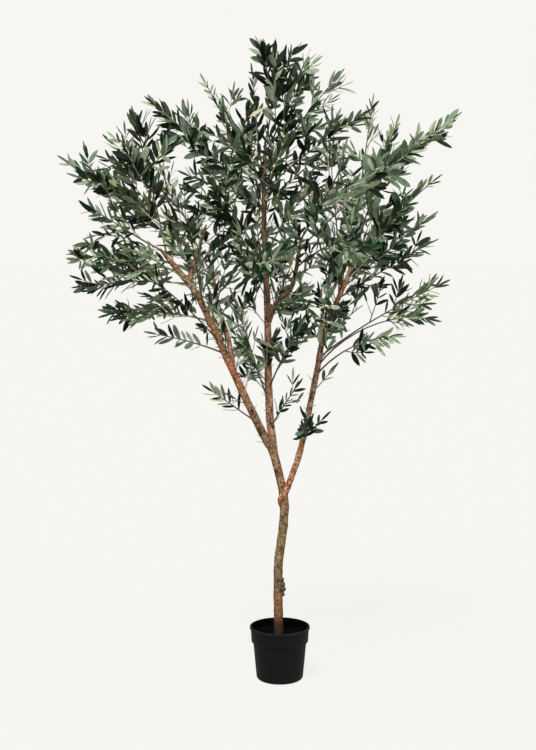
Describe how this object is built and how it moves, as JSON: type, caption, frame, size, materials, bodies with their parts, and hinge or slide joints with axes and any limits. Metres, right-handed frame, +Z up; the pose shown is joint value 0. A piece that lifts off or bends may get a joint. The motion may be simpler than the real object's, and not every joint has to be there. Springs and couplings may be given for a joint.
{
  "type": "potted artificial olive tree",
  "caption": "Tall slim-stemmed artificial olive tree with an open rounded crown of narrow grey-green leaves, set in a small black nursery pot.",
  "frame": {"origin": "centre of the pot's flat underside", "axes": "+Z up along the trunk, +X to the right and +Y away, seen from the side that the picture shows"},
  "size_m": [1.386, 1.0582, 2.2264],
  "materials": {
    "pot_plastic": "moulded black plastic, faintly satin",
    "fill": "rough cast weight under a dark cover",
    "bark": "rough brown bark",
    "foliage": "matt grey-green leaves on thin wires"
  },
  "bodies": {
    "root": {"bough_centre": "bark", "bough_centre_fork": "bark", "bough_left": "bark", "bough_left_fork": "bark", "bough_left_rear": "bark", "bough_right": "bark", "pot": "pot_plastic", "pot_fill": "fill", "spray_centre_foot": "foliage", "spray_centre_skirt": "foliage", "spray_front_centre": "foliage", "spray_front_centre_high": "foliage", "spray_front_left": "foliage", "spray_front_left_low": "foliage", "spray_front_right": "foliage", "spray_front_right_high": "foliage", "spray_front_right_low": "foliage", "spray_inner_crest": "foliage", "spray_inner_foot": "foliage", "spray_inner_left": "foliage", "spray_inner_low": "foliage", "spray_inner_right": "foliage", "spray_left_crest_high": "foliage", "spray_left_crest_low": "foliage", "spray_left_crest_mid": "foliage", "spray_left_feather": "foliage", "spray_left_foot": "foliage", "spray_left_shoulder": "foliage", "spray_left_skirt": "foliage", "spray_left_wing_front": "foliage", "spray_left_wing_high": "foliage", "spray_left_wing_low": "foliage", "spray_left_wing_mid": "foliage", "spray_rear_centre": "foliage", "spray_rear_centre_high": "foliage", "spray_rear_left": "foliage", "spray_rear_left_low": "foliage", "spray_rear_right": "foliage", "spray_rear_right_high": "foliage", "spray_rear_right_low": "foliage", "spray_right_arm": "foliage", "spray_right_arm_high": "foliage", "spray_right_arm_low": "foliage", "spray_right_arm_mid": "foliage", "spray_right_crest": "foliage", "spray_right_crest_front": "foliage", "spray_right_crest_high": "foliage", "spray_right_feather": "foliage", "spray_right_foot": "foliage", "spray_right_skirt": "foliage", "spray_right_wing_high": "foliage", "spray_right_wing_low": "foliage", "spray_top": "foliage", "spray_top_left": "foliage", "spray_top_right": "foliage", "trunk": "bark"}
  },
  "joints": []
}
